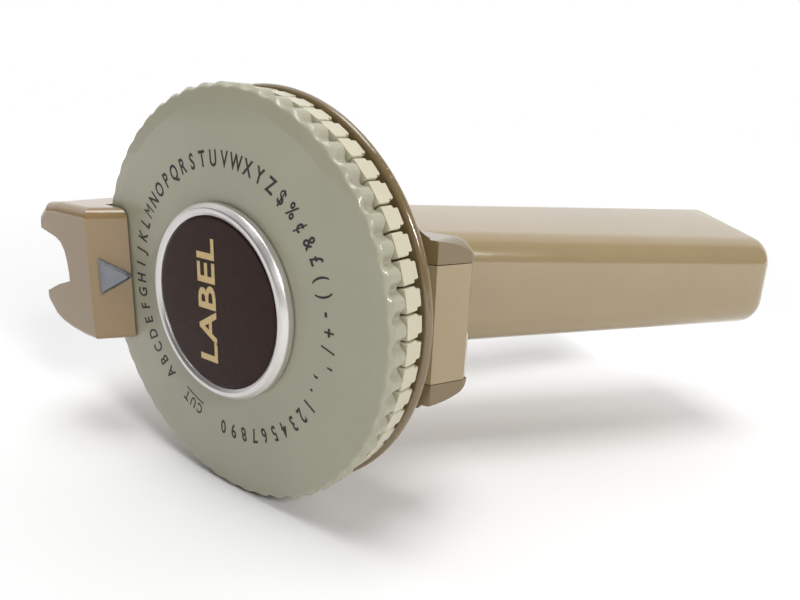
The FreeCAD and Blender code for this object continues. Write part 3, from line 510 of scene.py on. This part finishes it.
def grip_body():
    """One-piece grip with a softly rounded end, seated on the housing's back."""
    palm, finger, length, soft = -1.5, -40.0, 161.0, 5.0
    palm_half, palm_taper = 15.6, 3.3
    finger_half, finger_taper = 20.2, 0.8
    housing_back = 27.6
    cosine, sine = round(math.cos(GRIP_TURN), 3), round(math.sin(GRIP_TURN), 3)
    rings = []
    levels = [(i / 24, 0.0) for i in range(25)]
    levels += [(1.0, math.pi / 2 * k / 8) for k in range(1, 9)]
    bm = bmesh.new()
    for share, turn in levels:
        inset = soft * (1 - math.cos(turn))
        lift = soft * math.sin(turn)
        ring = []
        for across, high in grip_outline(palm, finger, palm_half - palm_taper * share,
                                         finger_half - finger_taper * share, inset):
            start = (housing_back + cosine * across) / sine
            along = start + (length - soft - start) * share + lift
            ring.append(bm.verts.new(grip_place(across, along, high)))
        rings.append(ring)
    loft(bm, rings)
    return object_from("grip_body", bm, BEIGE, "frame", ["grip_shell"], flat=50)


# ------------------------------------------------------------------ CAD nodes kept as they are
def finish_nodes():
    """Give every CAD node its material and a small bevel on its sharp edges."""
    record = frame["record"]
    slots = {entry["node"]: entry["material_slot"] for entry in record["subparts"]}
    bevels = {"housing_upper": 0.7, "housing_lower": 0.7, "rear_door": 0.45, "lever": 0.6,
              "grip_cover": 0.3, "nose_pointer": 0.2, "cutter_blade": 0.1}
    for name, node in frame["nodes"].items():
        node.data.materials.clear()
        # housing nodes get the darker copy of the beige plastic: painted shade
        darker_copy = HOUSING_SHADED_COPY if name.startswith("housing_") and name != "housing_bolts" else None
        node.data.materials.append(darker_copy or SLOT_MATERIAL[slots[name]])
        bevel = node.modifiers.new("soft_edges", "BEVEL")
        bevel.width = bevels.get(name, 0.12) * MM
        bevel.segments = 3
        bevel.limit_method = "ANGLE"
        bevel.angle_limit = math.radians(35)
        bevel.harden_normals = True


# ------------------------------------------------------------------ stage
FLOOR_HALF = 6.0
FLOOR_COLOR = (0.93, 0.93, 0.93)
BRIGHT_SIDE = (-0.56, 0.78, 0.28)             # direction of the pale side of the surroundings
CAMERA_PLACE = (119.83, -95.58, 44.58)        # millimetres in the tool's frame
CAMERA_RIGHT = Vector((0.8082, 0.5875, 0.0404))
CAMERA_UP = Vector((-0.1937, 0.2004, 0.9604))
CAMERA_BACK = Vector((0.5562, -0.7840, 0.2758))


def floor():
    """Pale floor that glows with the distance, so its far part is as white as the surroundings."""
    far = FLOOR_HALF
    mesh = bpy.data.meshes.new("floor")
    mesh.from_pydata([(-far, -far, 0), (far, -far, 0), (far, far, 0), (-far, far, 0)], [],
                     [(0, 1, 2, 3)])
    piece = bpy.data.objects.new("floor", mesh)
    bpy.context.scene.collection.objects.link(piece)
    material, tree, shader = new_material("floor", FLOOR_COLOR, 0.7)
    dull = tuple(c * 0.985 for c in FLOOR_COLOR)
    tree.links.new(ramp(tree, noise(tree, 3, 2), [(0.3, dull), (0.7, FLOOR_COLOR)]),
                   shader.inputs["Base Color"])
    coords = tree.nodes.new("ShaderNodeTexCoord")
    reach = tree.nodes.new("ShaderNodeVectorMath")
    reach.operation = "LENGTH"
    tree.links.new(coords.outputs["Object"], reach.inputs[0])
    fade = tree.nodes.new("ShaderNodeMapRange")
    fade.inputs["From Min"].default_value = 0.25
    fade.inputs["From Max"].default_value = 1.4
    fade.inputs["To Max"].default_value = 0.9
    tree.links.new(reach.outputs["Value"], fade.inputs["Value"])
    tree.links.new(fade.outputs["Result"], shader.inputs["Emission Strength"])
    shader.inputs["Emission Color"].default_value = (1, 1, 1, 1)
    mesh.materials.append(material)


def surroundings():
    """Light from one pale side; the camera itself sees plain white behind the floor."""
    world = bpy.data.worlds.new("studio")
    bpy.context.scene.world = world
    world.use_nodes = True
    tree = world.node_tree
    sky = tree.nodes["Background"]
    coords = tree.nodes.new("ShaderNodeTexCoord")
    toward = tree.nodes.new("ShaderNodeVectorMath")
    toward.operation = "DOT_PRODUCT"
    toward.inputs[1].default_value = BRIGHT_SIDE
    tree.links.new(coords.outputs["Generated"], toward.inputs[0])
    tone = tree.nodes.new("ShaderNodeMapRange")
    tone.inputs["From Min"].default_value = -0.5
    tone.inputs["From Max"].default_value = 0.5
    tree.links.new(toward.outputs["Value"], tone.inputs["Value"])
    gradient = ramp(tree, tone.outputs["Result"], [(0.0, (0.05, 0.05, 0.055)),
                                                   (0.65, (0.16, 0.16, 0.165)),
                                                   (0.9, (1.0, 1.0, 1.0))])
    path = tree.nodes.new("ShaderNodeLightPath")
    tree.links.new(blend_colors(tree, path.outputs["Is Camera Ray"], gradient, (1.0, 1.0, 1.0)),
                   sky.inputs["Color"])


def softbox(name, offset, size, power):
    """Rectangular lamp that looks at the middle of the dial's face."""
    lamp = bpy.data.lights.new(name, "AREA")
    lamp.shape = "RECTANGLE"
    lamp.size, lamp.size_y = size
    lamp.energy = power
    item = bpy.data.objects.new(name, lamp)
    bpy.context.scene.collection.objects.link(item)
    item.location = HEAD + Vector(offset)
    item.rotation_euler = (-Vector(offset)).to_track_quat("-Z", "Y").to_euler()


def camera():
    """Camera to the right of the dial and a little above its middle, looking past it to the left."""
    lens = bpy.data.cameras.new("camera")
    lens.lens = 28.71
    lens.sensor_width = 36
    lens.clip_start = 0.01
    item = bpy.data.objects.new("camera", lens)
    bpy.context.scene.collection.objects.link(item)
    turn = Matrix((CAMERA_RIGHT, CAMERA_UP, CAMERA_BACK)).transposed().to_4x4()
    item.matrix_world = Matrix.Translation(place(*CAMERA_PLACE)) @ turn
    bpy.context.scene.camera = item
    bpy.context.scene.view_settings.view_transform = "Standard"


def stage():
    """Floor, surroundings, soft lamps and camera."""
    floor()
    surroundings()
    softbox("key", (0.10, -0.05, 0.95), (0.45, 0.45), 4.8)
    softbox("window", (0.75, -0.25, 0.45), (0.14, 0.2), 4.0)
    camera()


# ------------------------------------------------------------------ build
front_disc()
finger_disc()
dial_characters()
hub_ring()
hub_badge()
badge_word()
grip_body()
finish_nodes()
stage()
